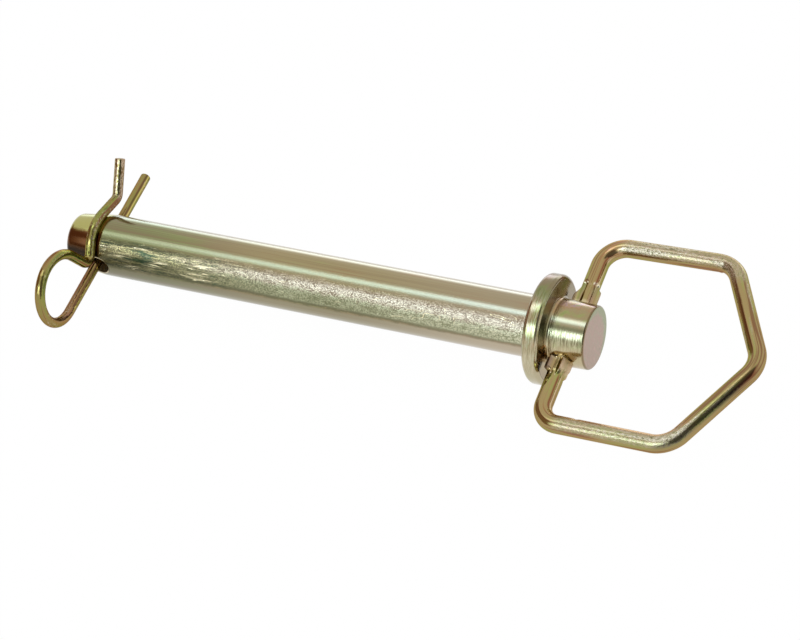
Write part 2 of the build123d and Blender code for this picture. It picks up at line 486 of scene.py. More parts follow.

# tints that lie over the film: colours of the zinc, and painted light, shade and reflections
TINTS = {
    "even": (0.5, 0.5, 0.5),
    # body
    "nose_end_haze": (0.70, 0.68, 0.80),
    "drawn_dark": (0.22, 0.155, 0.07),
    "drawn_pale": (0.42, 0.40, 0.20),
    "head_end": (0.37, 0.31, 0.235),
    "under": (0.29, 0.275, 0.19),
    "under_nose_end": (0.20, 0.185, 0.13),
    "under_head_end": (0.56, 0.47, 0.35),
    "top": (0.84, 0.79, 0.69),
    "strip_highlight_tint": (0.29, 0.315, 0.205),
    "strip_highlight_tint_head_end": (0.33, 0.35, 0.27),
    "strip_highlight_tint_nose_end": (0.235, 0.24, 0.125),
    "bright_grain": (0.60, 0.545, 0.41),
    "bright_grain_low": (0.42, 0.44, 0.28),
    "bright_grain_head_end": (0.66, 0.66, 0.47),
    "bright_grain_nose_end": (0.62, 0.54, 0.28),
    "dark_grain": (0.17, 0.125, 0.075),
    "dark_grain_low": (0.15, 0.165, 0.08),
    "dark_grain_head_end": (0.24, 0.26, 0.14),
    "dark_grain_nose_end": (0.04, 0.045, 0.02),
    "rosy_grain": (0.80, 0.76, 0.76),
    "rim": (0.13, 0.125, 0.065),
    "rim_nose_end": (0.075, 0.075, 0.04),
    "green_film_dark": (0.085, 0.10, 0.038),
    "green_film_gold": (0.46, 0.42, 0.18),
    "nose_end_painted_shade": (0.46, 0.48, 0.48),
    "scratch": (0.86, 0.78, 0.50),
    # nose
    "nose": (0.46, 0.42, 0.135),
    "nose_brown": (0.155, 0.062, 0.015),
    "nose_black": (0.022, 0.012, 0.005),
    "nose_fleck": (0.22, 0.125, 0.07),
    # collar and head
    "head_highlight_tint": (0.38, 0.40, 0.30),
    "lathe_green": (0.50, 0.58, 0.42),
    "lathe_gold": (0.64, 0.60, 0.44),
    "lathe_dark": (0.16, 0.145, 0.075),
    "head_front": (0.175, 0.175, 0.095),
    "head_bright": (0.72, 0.70, 0.46),
    "head_dark": (0.15, 0.135, 0.065),
    "head_low": (0.62, 0.52, 0.33),
    "collar_top": (0.68, 0.67, 0.70),
    "collar_low": (0.70, 0.66, 0.48),
    "collar_face": (0.225, 0.185, 0.09),
    "collar_face_low": (0.26, 0.165, 0.07),
    "corner": (0.46, 0.34, 0.16),
    "orange_bars": (0.75, 0.34, 0.16),
    "edge_line": (0.13, 0.075, 0.025),
    "end_face": (0.345, 0.215, 0.155),
    "end_face_edge": (0.235, 0.265, 0.125),
    "end_face_green": (0.30, 0.27, 0.16),
    "end_face_rosy": (0.46, 0.31, 0.24),
    "end_face_fleck": (0.12, 0.10, 0.07),
    "hole_wall": (0.74, 0.64, 0.42),
    # wires
    "wear_pale": (0.62, 0.60, 0.46),
    "wear_dark": (0.12, 0.08, 0.04),
    "arm_under": (0.74, 0.68, 0.46),
    "arm_inner": (0.60, 0.38, 0.23),
    "groove": (0.38, 0.245, 0.15),
    "groove_far": (0.29, 0.26, 0.12),
    "groove_edge_shade": (0.21, 0.11, 0.05),
    "groove_low_shade": (0.16, 0.075, 0.04),
    "groove_end": (0.92, 0.86, 0.66),
    "fin": (0.50, 0.37, 0.22),
    "fin_low_lit": (0.66, 0.50, 0.34),
    "fin_shade_at_collar": (0.36, 0.25, 0.165),
    "ear_root": (0.70, 0.58, 0.36),
    "nick": (0.95, 0.80, 0.70),
    "dark_band_streaks_black": (0.035, 0.03, 0.025),
    "dark_band_streaks_brown": (0.16, 0.04, 0.015),
    "riser_dark_reflection": (0.20, 0.045, 0.018),
    "riser_pale_reflection": (0.74, 0.56, 0.36),
    "tip_dark": (0.15, 0.075, 0.03),
    "tip_pale": (0.74, 0.62, 0.48),
    "leg_dark_reflection": (0.11, 0.045, 0.018),
    "leg_bright_reflection": (0.72, 0.55, 0.17),
}


class TurnedZinc(Nodes):
    """Zinc on the turned body: smooth on top, rubbed and grainy in front, lathe marks on collar and head,
    with painted light, shade and reflections.
    """

    def __init__(self):
        self.material = bpy.data.materials.new("turned_zinc")
        super().__init__(self.material)
        self.measure()
        self.lay_film()
        self.rub_front()
        self.scratch_front()
        self.paint_nose_reflection()
        self.turn_collar_and_head()
        self.shade_collar_and_head()
        self.colour_end_face()
        self.line_holes()
        height = (self.grain - 0.5) * (self.rubbed * 0.10 + self.strip_highlight_tint * 0.02 + 0.006)
        height = height + (self.lines - 0.5) * self.shank * 0.02 + (self.turned - 0.5) * self.head * 0.03
        height = height - self.scratched * 0.03
        roughness = 0.13 + self.rubbed * 0.13 + self.head * 0.02 + self.hole * 0.3
        self.metal(roughness + (self.mottle - 0.5) * 0.08, self.bump(height))

    def measure(self):
        """Where a place lies on the body, and which part of the body that is."""
        pin, step = sizes("pin"), self.step
        self.at = self.place()
        self.x, self.y, self.z = self.parts(self.at)
        self.radius = (self.y * self.y + self.z * self.z) ** 0.5
        # degrees round the axis from the front, growing downwards
        self.front = self.angle(self.dot(self.at, BELOW), self.dot(self.at, AHEAD))
        self.unrolled = self.join(self.x, self.front * ARC, 0.0)
        self.shank = step(self.x, 0.4, -0.4)
        self.head = step(self.x, -0.4, 0.0)
        self.collar = step(self.x, pin.collar_t + 0.6, pin.collar_t - 0.2)
        self.nose = step(self.x, -pin.shank_l + 0.5, -pin.shank_l - 0.5)
        self.nose_end = step(self.x, -80, -138)
        self.head_end = step(self.x, -70, -5)
        # 0 where the unrolled surface closes, at the back
        self.unclosed = step(abs(self.front), 178, 150)

    def even(self, pattern):
        """A pattern on the unrolled surface, made even where that closes."""
        return self.mix(self.unclosed, "even", pattern)

    def lay_film(self):
        """Slow patches, fine drawn lines and small mottles in the film, with painted reflection on the
        underside and a painted highlight along the top edge.
        """
        step, mix, noise, paint = self.step, self.mix, self.noise, self.paint
        front, shank, nose_end, head_end = self.front, self.shank, self.nose_end, self.head_end
        patches = self.even(noise(self.unrolled, (0.035, 0.16, 1.0), warp=0.4))
        self.lines = self.even(noise(self.unrolled, (0.010, 1.7, 1.0), 3.0, 0.7))
        self.mottle = noise(self.at, (0.32, 0.8, 0.8), 3.0, 0.6, shift=(31, 7, 3))
        self.grain = noise(self.at, (2.1, 3.5, 3.5), 2.0, 0.65)
        self.ragged = front + (patches - 0.5) * 4 + (self.mottle - 0.5) * 10 + (self.grain - 0.5) * 9
        thickness = 0.52 + (patches - 0.5) * 0.7 + (self.lines - 0.5) * 0.6
        self.colour = self.film(thickness - nose_end * 0.28 + head_end * 0.10)
        paint(nose_end, "nose_end_haze", "MULTIPLY")
        paint(step(self.lines, 0.47, 0.63) * 0.30 * shank, "drawn_dark")
        paint(step(self.lines, 0.46, 0.32) * 0.30 * shank, "drawn_pale")
        paint(head_end * 0.40 * shank, "head_end")
        # painted reflection on the underside: greyer like the floor below, darker towards the nose and paler
        # towards the head
        under = step(front, 42, 50) * step(front, 178, 130) * shank
        paint(under * 0.6, mix(nose_end, "under", "under_nose_end"))
        paint(under * head_end * 0.7, "under_head_end")
        # painted highlight: the top edge paler, as it reflects the white floor behind
        paint(step(front, -52, -80) * step(front, -130, -100) * shank * 0.3, "top")

    def rub_front(self):
        """Bright and dark grains of rubbed zinc in front, between a green tint painted along the strip
        highlight and a painted dark reflection band, with painted shade at the nose's end.
        """
        step, mix, noise, paint = self.step, self.mix, self.noise, self.paint
        front, nose_end, head_end = self.front, self.nose_end, self.head_end
        mottle, grain = self.mottle, self.grain
        body = self.shank * (1.0 - self.nose)
        self.rubbed = step(self.ragged, *RUBBED_TOP) * step(self.ragged, *RUBBED_FOOT) * body
        # green tint painted along the line where the strip lamp's highlight falls
        self.strip_highlight_tint = self.hump(front + (mottle - 0.5) * 6 + (grain - 0.5) * 8, -19.0, 11.0) * body
        paint(self.strip_highlight_tint * 0.8, mix(nose_end, mix(head_end, "strip_highlight_tint", "strip_highlight_tint_head_end"),
                                         "strip_highlight_tint_nose_end"))
        # browner above and greener below, with longer grains at the nose's end
        low = step(front + (mottle - 0.5) * 22, 9, 22)
        drawn = noise(self.at, (0.14, 3.4, 3.4), 3.0, 0.7, shift=(5, 2, 6))
        speck = mix(nose_end * 0.62, grain, drawn)
        bright = mix(low, "bright_grain", mix(head_end, "bright_grain_low", "bright_grain_head_end"))
        dark = mix(low, "dark_grain", mix(head_end, "dark_grain_low", "dark_grain_head_end"))
        bright = mix(nose_end, bright, "bright_grain_nose_end")
        dark = mix(nose_end, dark, "dark_grain_nose_end")
        grains = mix(step(speck + (mottle - 0.5) * 0.35, 0.37, 0.63), dark, bright)
        paint(self.rubbed * (0.45 + step(front, -8, 2) * 0.43), grains)
        paint(step(front, 5, -3) * self.rubbed * (1.0 - nose_end) * 0.8, "rosy_grain", "MULTIPLY")
        # painted dark reflection band along the lower edge of the rubbed part, fainter towards the head
        rim = self.hump((self.ragged + nose_end * 1.5 - 42.0) * (1.0 - nose_end * 0.4), 0.0, 6.0) * body
        paint(rim * (0.85 - head_end * 0.4), mix(nose_end, "rim", "rim_nose_end"))
        # green film left at the nose's end, dark in places
        cloud = noise(self.unrolled, (0.09, 0.42, 1.0), 4.0, 0.65, 0.5, shift=(3, 5, 0))
        left = self.rubbed * step(self.x, -84, -122)
        paint(left * step(cloud, 0.40, 0.54) * 0.55,
              mix(step(speck, 0.47, 0.60), "green_film_dark", "green_film_gold"))
        teal = tuple(sizes("plating").teal)
        paint(left * step(cloud, 0.57, 0.64) * (0.8 - step(speck, 0.52, 0.64) * 0.7), teal)
        # painted shade at the nose's end: the lower front darker, and a narrow band above the brightest part
        shade = step(front + (mottle - 0.5) * 12, 7, 19)
        shade = shade + step(front + (mottle - 0.5) * 8, 1.0, -3.0) * step(front, -12, -8)
        paint(shade * self.rubbed * nose_end, "nose_end_painted_shade", "MULTIPLY")

    def scratch_front(self):
        """Thin curved scratches, mostly lengthwise, where few of them run."""
        few = self.step(self.noise(self.unrolled, (0.07, 0.25, 1.0), shift=(9, 2, 0)), 0.48, 0.58)
        self.scratched = 0.0
        for scale, turn, width, ends in (((0.05, 0.60, 1.0), 0.12, 0.016, (-70, -100)),
                                         ((0.10, 0.28, 1.0), 0.7, 0.010, (-70, -45)),
                                         ((0.022, 0.95, 1.0), 0.05, 0.02, (-84, -110))):
            way = self.noise(self.unrolled, scale, 1.0, 0.5, 0.6, turn=(0, 0, turn))
            lines = self.step(abs(way - 0.5), width, width * 0.3) * few
            self.scratched = self.scratched + lines * self.rubbed * self.step(self.x, *ends)
        self.paint(self.scratched * 0.85, "scratch")

    def paint_nose_reflection(self):
        """The nose's film, with a painted dark reflection on its front: brown higher up, near black lower
        down, with paler flecks.
        """
        pin, step, mix, front, ragged = sizes("pin"), self.step, self.mix, self.front, self.ragged
        end = -pin.shank_l - pin.nose_l
        front_only = step(ragged, -24, -14) * step(ragged, 84, 60)
        brown = self.nose * front_only * step(self.x, end + 0.15, end + 0.6)
        self.paint(self.nose * 0.8, "nose")
        # painted dark reflection on the nose's front
        dim = mix(step(front, 6, 26), "nose_brown", "nose_black")
        self.paint(brown, mix(step(self.grain, 0.63, 0.75), dim, "nose_fleck"))

    def turn_collar_and_head(self):
        """Lathe marks round the collar, the head and their faces, with a green tint painted along the head's
        strip highlight and painted shade on the head's front.
        """
        step, mix, noise, paint = self.step, self.mix, self.noise, self.paint
        x, radius, front, head, collar = self.x, self.radius, self.front, self.head, self.collar
        knob = 1.0 - collar
        self.turned = self.even(noise(self.join(x * 3.2, radius * 3.2, front * 0.085), None, 3.0, 0.7))
        self.spots = self.even(noise(self.join(x * 0.17, radius * 0.12, front * 0.034), None, 3.0, 0.6, 0.6))
        fine = noise(self.join(x * 5.5, radius * 3.2, front * 0.05), None, 2.0, 0.7)
        thickness = 0.46 + (self.spots - 0.5) * 1.8 + (self.turned - 0.5) * 0.3 + step(front, -34, -56) * 0.22
        paint(head * 0.85, self.film(thickness))
        facing = step(front, -50, -22) * collar + step(front, -13, -6) * knob
        facing = facing * step(front, 64, 46) * head
        # green tint painted along the head's strip highlight
        paint(head * self.hump(front, -18.0, 12.0) * knob * 0.6, "head_highlight_tint")
        paint(facing * step(self.turned, 0.42, 0.66) * (collar * 0.35 + 0.25),
              mix(step(self.spots, 0.44, 0.54), "lathe_green", "lathe_gold"))
        # painted shade on the head's front, fading lower down
        paint(facing * knob * (0.85 - step(front, 8, 30) * 0.75), "head_front")
        rubbed = facing * knob * step(front, -6, 4) * step(front, 44, 34) * self.unclosed
        paint(rubbed * step(fine, 0.44, 0.60) * 0.55, "head_bright")
        paint(rubbed * step(fine, 0.46, 0.34) * 0.35, "head_dark")
        paint(facing * step(self.turned, 0.47, 0.34) * 0.55, "lathe_dark")

    def shade_collar_and_head(self):
        """Olive face on the collar with painted orange reflections low down, painted shade on the collar's
        top, painted light on its lower rim and the head's lower side, painted light in the corner by the
        lower ear, painted reflections of the ear, and dark lines along the edges.
        """
        pin, step, mix, paint = sizes("pin"), self.step, self.mix, self.paint
        x, z, radius, front, head, collar = self.x, self.z, self.radius, self.front, self.head, self.collar
        knob = 1.0 - collar
        # painted shade on the collar's top and painted light on its lower rim
        paint(collar * head * step(front, -18, -38), "collar_top", "MULTIPLY")
        paint(collar * head * step(front, 12, 44) * 0.4, "collar_low")
        face = step(x, pin.collar_t - 0.25, pin.collar_t - 0.05) * step(radius, 15.6, 15.0) * collar
        # olive face with painted orange reflections low down
        paint(face * 0.7, mix(step(front, 20, 60) * step(front, 170, 110), "collar_face", "collar_face_low"))
        # painted light on the head's lower side
        paint(step(front, 18, 42) * head * (1.0 - face) * knob * 0.75, "head_low")
        # painted light in the shaded corner by the lower ear
        from_wire = ((x - pin.swing_x) * (x - pin.swing_x) + z * z) ** 0.5
        corner = step(from_wire, 6.5, 3.6) * step(radius, 15.5, 11.5) * step(front, 34, 52)
        paint(corner * step(x, pin.swing_x + 4.0, pin.swing_x + 3.2) * 0.75, "corner")
        # painted reflection of the ear on the collar face: orange bars
        bars = step(self.noise(self.join(front * 0.19, 0.0, 0.0), detail=0.0), 0.50, 0.60)
        paint(bars * face * step(radius, 13.5, 11.5) * self.hump(front, 36, 22), "orange_bars")
        line = self.hump(radius + (self.turned - 0.5) * 0.5, 15.45, 0.30) * step(x, 2.0, 4.0)
        line = line + self.hump(radius, 16.0, 0.4) * step(x, 0.9, 0.1) * head
        line = line + self.hump(radius + x, 9.35 + pin.collar_t + pin.head_l, 0.36) * knob
        paint(line * 0.8, "edge_line")

    def colour_end_face(self):
        """Rosy end face with a greenish edge and dark specks."""
        pin, step, mix, paint = sizes("pin"), self.step, self.mix, self.paint
        end = pin.collar_t + pin.head_l
        face = step(self.x, end - 0.12, end - 0.04)
        ring = step(self.radius + (self.spots - 0.5) * 4 + self.y * 0.3, 7.6, 9.6)
        drag = self.noise(self.at, (1.0, 1.7, 0.3), 3.0, 0.6, turn=(0.5, 0, 0), shift=(4, 4, 1))
        flecks = self.noise(self.at, (1, 1.3, 1.3))
        paint(face, mix(ring, "end_face", "end_face_edge"))
        paint(face * step(drag, 0.46, 0.64) * 0.55, "end_face_green")
        paint(face * step(drag, 0.46, 0.32) * 0.45, "end_face_rosy")
        paint(face * step(flecks, 0.66, 0.72) * 0.7, "end_face_fleck")

    def line_holes(self):
        """Painted light in the cross holes: bright gold where their walls and mouths lie in shade."""
        pin = sizes("pin")
        self.hole = 0.0
        for at, tilt, size in ((pin.swing_x, 0.0, sizes("handle").wire_d / 2 + pin.swing_gap),
                               (pin.clip_hole_x, math.radians(pin.clip_hole_roll), pin.clip_hole_d / 2)):
            beside = self.dot(self.at, (0, math.sin(tilt), math.cos(tilt)))
            from_axis = (beside * beside + (self.x - at) * (self.x - at)) ** 0.5
            self.hole = self.hole + self.step(from_axis, size + 0.45, size + 0.02)
        # painted light in the shaded holes
        self.paint(self.hole, "hole_wall")


class WireZinc(Nodes):
    """Zinc on drawn wire: long drawn streaks, patches of film and small dents."""

    def __init__(self, name, vivid, stain, tint, rim):
        self.material = bpy.data.materials.new(name)
        super().__init__(self.material)
        noise, step, paint, colours = self.noise, self.step, self.paint, sizes("plating")
        self.at = self.noted("unbent")
        self.length, self.side, self.top = self.parts(self.at)
        self.x, self.y, self.z = self.parts(self.place())
        self.patches = noise(self.at, (0.05, 0.25, 0.25), 3.0, 0.55, 0.8)
        self.streak = noise(self.at, (0.025, 0.95, 0.95), 2.0, 0.6, shift=(7, 3, 1))
        self.specks = noise(self.at, (1.2, 2.4, 2.4), 3.0, 0.6, shift=(2, 9, 4))
        thickness = 0.46 + ((self.patches - 0.5) * 1.1 + (self.streak - 0.5) * 1.2) * vivid
        self.colour = self.film(thickness + (self.specks - 0.5) * 0.25)
        paint(1.0, tint, "MULTIPLY")
        paint(step(self.streak, 0.53, 0.60) * stain, tuple(colours.stain))
        worn = self.wear(step(noise(self.at, (0.04, 0.5, 0.5), shift=(1, 4, 8)), 0.52, 0.62))
        paint(worn * step(self.specks, 0.52, 0.66) * 0.5, tuple(colours.bare))
        paint(worn * step(self.specks, 0.48, 0.36) * 0.5, "wear_dark")
        roughness = 0.11 + worn * 0.12 + self.mark()
        dents = noise(self.at, (0.6, 1.3, 1.3), shift=(8, 1, 5))
        height = (self.specks - 0.5) * (worn * 0.07 + 0.008) + (self.streak - 0.5) * 0.05
        height = height + (dents - 0.5) * (vivid - 1.0) * 0.12
        self.metal(roughness, self.bump(height), rim)

    def wear(self, worn):
        """Where the wire is worn."""
        return worn

    def mark(self):
        """Colour this wire's own marks and any painted light, shade and reflections, and tell how much
        rougher they are.
        """
        return 0.0


class HandleZinc(WireZinc):
    """Zinc on the pull handle, worn along its arms and painted paler where they catch the highlight, with
    painted light, shade and reflections on its ears and sides
    """

    def __init__(self):
        super().__init__("handle_zinc", 1.2, 0.7, (1.06, 0.96, 0.78), (0.70, 0.56, 0.38))

    def wear(self, worn):
        step, x = self.step, self.x
        # wear laid on the arms' upper side, where the lamp's highlight falls
        arms = step(abs(self.y), 24, 28) * step(x, 14, 18)
        worn = (worn * step(x, 13, 17) + arms * 0.7) * step(self.top, 0.9, 1.8)
        self.paint(worn * 0.8, self.film(0.56 + (self.specks - 0.5) * 3.0))
        # painted highlight: paler there, over the wear
        self.paint(worn * 0.25, "wear_pale")
        return worn

    def mark(self):
        step, mix, hump, paint = self.step, self.mix, self.hump, self.paint
        x, y, side, top, patches = self.x, self.y, self.side, self.top, self.patches
        # painted light on the underside of the lower arm
        paint(step(top, -0.5, -1.6) * step(y, -20, -26) * step(x, 14, 18) * 0.8, "arm_under")
        # grooves and fins of the ears, partly film colour and partly painted shade and light: shaded groove
        # edges, dark lower grooves, darker fins beside the collar and paler lower fins
        deep, end, raised = self.parts(self.noted("pressed"))
        paint(deep * 0.9, mix(step(y, 15.5, 12.0), "groove_far", "groove"))
        paint(hump(deep, 0.22, 0.16) * 0.3, "groove_edge_shade")
        paint(raised * 0.85, mix(step(y, 0, -5), "fin", mix(step(x, 8.6, 10.4), "fin_shade_at_collar", "fin_low_lit")))
        paint(step(deep, -0.2, -0.6) * 0.85, "groove_low_shade")
        # tan along the inner side of the lower arm, past the tool's small cut
        # the small cut painted near white, as a painted highlight
        nick = hump(x, 21.1, 1.5) * step(y, -30.3, -29.6) * step(y, -20, -24)
        paint(nick, "nick")
        paint(step(side, -0.7, -1.6) * step(y, -22, -27) * step(x, 12, 16) * (1.0 - nick) * 0.8, "arm_inner")
        # painted dark reflection band along the slanted side, broken by streaks, red-brown near the far bend
        slant = hump(side * 0.695 - top * 0.719 + (patches - 0.5), 0.0, 1.5)
        slant = slant * step(y, 0, -6) * step(x, 45, 50)
        dark_band_streaks = step(self.streak * 0.6 + self.specks * 0.4, 0.40, 0.50)
        paint(slant * (0.5 + dark_band_streaks * 0.5), mix(step(y, -14, -4), "dark_band_streaks_black", "dark_band_streaks_brown"))
        # painted highlight on the crescents where the grooves end
        paint(end, "groove_end")
        # painted light on the ear roots by the head, where they lie in shade
        head_r = sizes("pin").head_base_d / 2
        paint(step(abs(y), head_r + 1.4, head_r + 0.2) * step(x, 20.0, 16.0) * 0.6, "ear_root")
        # painted reflection bands along each riser: a dark red-brown line with a pale one beside it
        risers = step(abs(y), 14.0, 17.5) * step(abs(y), 29.0, 26.0) * step(x, 18, 14) * step(top, 0.2, 0.6)
        beside = side * 0.695 + top * 0.719 + (patches - 0.5) * 0.5
        paint(hump(beside, 0.0, 0.62) * risers * 0.9, "riser_dark_reflection")
        paint(hump(beside, -0.85, 0.5) * risers * 0.7, "riser_pale_reflection")
        return raised * 0.22


class ClipZinc(WireZinc):
    """Zinc on the hairpin clip, speckled and paler at its tip to whiten the highlight, with painted
    reflection lines along its leg
    """

    def __init__(self):
        super().__init__("clip_zinc", 2.0, 0.85, (0.86, 0.78, 0.50), (0.52, 0.38, 0.24))

    def mark(self):
        step, hump = self.step, self.hump
        # worn specks at the tip, painted paler there to whiten its highlight
        tip = step(self.y, 11, 14) * step(self.z, 4, 7)
        self.paint(tip * 0.45, self.mix(step(self.specks, 0.42, 0.56), "tip_dark", "tip_pale"))
        # painted reflection bands along the leg: a dark line with a bright yellow one beside it
        beside = self.side * -0.724 + self.top * -0.69 + (self.patches - 0.5) * 0.4
        leg = step(self.length, 57, 55) * step(abs(beside), 1.6, 1.2)
        self.paint(hump(beside, 0.05, 0.6) * leg * 0.9, "leg_dark_reflection")
        self.paint(hump(beside, -0.62, 0.36) * leg * 0.8, "leg_bright_reflection")
        return 0.0


# ---------------------------------------------------------------- pieces

class HITCH_OT_body(bpy.types.Operator):
    """Turn the pin body with its collar, head and two cross holes"""

    bl_idname = "hitch.body"
    bl_label = "Pin body"

    def execute(self, context):
        pin, handle = sizes("pin"), sizes("handle")
        r = pin.shank_d / 2
        nose_r = r - pin.nose_l * math.tan(math.radians(pin.nose_taper))
        head_end = pin.collar_t + pin.head_l
        # x, radius and size of the rounded edge, in mm
        profile = (
            (-pin.shank_l - pin.nose_l, 0, 0),
            (-pin.shank_l - pin.nose_l, nose_r, 2.0),
            (-pin.shank_l, r, 0),
            (0, r, 0.45),
            (0, pin.collar_d / 2, 1.4),
            (pin.collar_t, pin.collar_d / 2, 1.4),
            (pin.collar_t, pin.head_base_d / 2, 1.0),
            (head_end, pin.head_end_d / 2, 0.7),
            (head_end, 0, 0),
        )
        bm = bmesh.new()
        turn_line(bm, [(x, radius, 0) for x, radius, _ in profile], (1, 0, 0), pin.steps)
        for x, radius, edge in profile:
            if edge:
                ring = [e for e in bm.edges
                        if all(abs(v.co.x - x) < 1e-3 and abs(math.hypot(v.co.y, v.co.z) - radius) < 1e-3
                               for v in e.verts)]
                round_edges(bm, ring, edge, 6)
        bmesh.ops.recalc_face_normals(bm, faces=bm.faces)
        blank = to_object(bm, "blank")
        roll = math.radians(-pin.clip_hole_roll)
        drills = (
            drill("handle_drill", (pin.swing_x, 0, 0), (0, 1, 0), handle.wire_d / 2 + pin.swing_gap,
                  pin.head_base_d / 2, 0.25),
            drill("clip_drill", (pin.clip_hole_x, 0, 0), (0, math.cos(roll), math.sin(roll)),
                  pin.clip_hole_d / 2, r, 0.5),
        )
        for tool in drills:
            cut = blank.modifiers.new("Hole", "BOOLEAN")
            cut.object, cut.operation, cut.solver = tool, "DIFFERENCE", "EXACT"
        context.view_layer.update()
        bm = bmesh.new()
        bm.from_mesh(blank.evaluated_get(context.evaluated_depsgraph_get()).data)
        for scrap in (blank, *drills):
            bpy.data.meshes.remove(scrap.data)
        piece = finish_piece(bm, "pin_body", "pin", "hitch_pin", TurnedZinc().material)
        even_shading(piece)
        return {"FINISHED"}


def drill(name, centre, axis, radius, surface, mouth):
    """A drill that breaks the mouths of its hole, which lie at the surface on both sides."""
    past, wide, clear = surface + 8, radius + mouth + 0.3, 0.3
    side = [(wide, 0, past), (wide, 0, surface + clear), (radius, 0, surface - mouth)]
    side = [(0, 0, past), *side, *[(x, y, -z) for x, y, z in reversed(side)], (0, 0, -past)]
    bm = bmesh.new()
    turn_line(bm, side, (0, 0, 1), 64)
    bmesh.ops.recalc_face_normals(bm, faces=bm.faces)
    turn = Vector((0, 0, 1)).rotation_difference(Vector(axis)).to_matrix().to_4x4()
    bmesh.ops.transform(bm, matrix=Matrix.Translation(Vector(centre)) @ turn, verts=bm.verts)
    return to_object(bm, name)


class HITCH_OT_handle(bpy.types.Operator):
    """Bend the pull handle and press its ears"""

    bl_idname = "hitch.handle"
    bl_label = "Pull handle"

    def execute(self, context):
        pin, size = sizes("pin"), sizes("handle")
        swing = math.radians(size.swing)
        out = (math.cos(swing), 0, math.sin(swing))
        drawing = plane((pin.swing_x, 0, 0), out, (0, 1, 0))
        wire = Wire(size.wire_d / 2, size.steps, (0, 0), 90, drawing)
        ear = pin.head_base_d / 2 + size.ear_gap
        # coarse rings in the head's hole, and fine ones from just before the ears to past their run-out
        before, fine = 0.4, size.ear_full + size.ear_run + 1.8
        wire.run(ear - before, 3.0)
        wire.run(fine, 0.2)
        wire.through((
            (0, size.base_half_up, size.base_bend_up),
            (size.arm_up, size.shoulder_half, size.far_bend),
            (size.apex_reach, 0, size.far_bend),
            (size.arm_low, -size.shoulder_half, size.far_bend),
            (0, -size.base_half_low, size.base_bend_low),
            (0, before - ear - fine, 0),
        ), 1.0, 3.0)
        wire.run(fine, 0.2)
        wire.run(ear - before, 3.0)
        press_marks(wire, size)
        bmesh.ops.remove_doubles(wire.bm, verts=wire.bm.verts, dist=1e-3)
        press_ears(wire, pin, size, ear)
        finish_piece(wire.bm, "pull_handle", "handle", "handle", HandleZinc().material)
        return {"FINISHED"}


# angle from the way out of the head, reach from the wire's centre, half width and flank in degrees, length at
# full height and length of the run-out
Fin = namedtuple("Fin", "at reach half flank full run")
FINS_UP = (Fin(79, 2.72, 13, 25, 5.2, 1.4), Fin(157, 4.05, 4, 32, 1.6, 4.0),
           Fin(243.75, 3.7, 4, 36, 3.2, 3.0), Fin(345, 3.5, 11, 25, 5.3, 0.8))
FINS_LOW = (Fin(34, 3.4, 33, 7, 2.6, 2.8), Fin(90, 2.85, 9, 9, 3.6, 1.2), Fin(138, 4.0, 14, 17, 3.5, 1.0),
            Fin(210, 3.6, 12, 20, 3.4, 2.0), Fin(300, 3.6, 12, 20, 3.4, 2.0))
# mm from the ear's start to its grooves' ends, and how much shallower the lower grooves are
GROOVE_UP, GROOVE_LOW, SHALLOWER = 5.4, 3.9, 0.3
# tool's cut in the lower arm and crease inside the upper shoulder: mm past the bend before them, and depth
NICK_AT, NICK_DEPTH = 24.0, 0.35
CREASE_AT, CREASE_DEPTH = 2.1, 0.30


def smooth(value):
    """0 below 0 and 1 above 1, with a soft rise between."""
    value = min(1.0, max(0.0, value))
    return value * value * (3 - 2 * value)


def press_ears(wire, pin, size, ear):
    """Press grooves into the wire at each side of the head, with the fins that they raise between them.

    The layer notes how deep each place is pressed (negative on the lower side), how near it is to a
    groove's end, and how far it is raised.
    """
    wire_r = size.wire_d / 2
    for vert in wire.bm.verts:
        along = abs(vert.co.y) - ear
        dx, dz = vert.co.x - pin.swing_x, vert.co.z
        # only the wire beside the head, and not the arms
        if not -0.3 < along < 9 or dx > 6:
            continue
        fins, groove_end, floor = FINS_LOW, GROOVE_LOW, size.valley_r + SHALLOWER
        if vert.co.y > 0:
            fins, groove_end, floor = FINS_UP, GROOVE_UP, size.valley_r
        angle = math.degrees(math.atan2(dz, dx)) % 360
        radius, fall, nearest = floor, 1.0, fins[0]
        for fin in fins:
            off = abs((angle - fin.at + 180) % 360 - 180)
            top = fin.reach / math.cos(math.radians(min(off, fin.half)))
            down = min(1.0, max(0.0, (off - fin.half) / fin.flank))
            out = top + (floor - top) * (1 - (1 - down) ** 1.7)
            if out > radius:
                radius, fall, nearest = out, down, fin
        end = 0.0
        if radius > wire_r:
            radius = wire_r + (radius - wire_r) * (1 - smooth((along - nearest.full) / nearest.run))
        else:
            # a groove ends in a crescent, which comes later in its middle than beside the fins
            in_middle = math.sqrt(max(0.0, 1 - (1 - fall) ** 2))
            rise = smooth((along - groove_end - in_middle) / 1.2)
            end = 4 * rise * (1 - rise) * min(1.0, (wire_r - radius) / 0.25)
            radius = wire_r + (radius - wire_r) * (1 - rise)
        radius = wire_r + (radius - wire_r) * smooth((along + 0.3) / 0.12)
        scale = radius / math.hypot(dx, dz)
        vert.co.x, vert.co.z = pin.swing_x + dx * scale, dz * scale
        deep = max(0.0, wire_r - radius) / 0.7
        vert[wire.pressed] = (deep if vert.co.y > 0 else -deep, end, max(0.0, radius - wire_r) / 0.8)


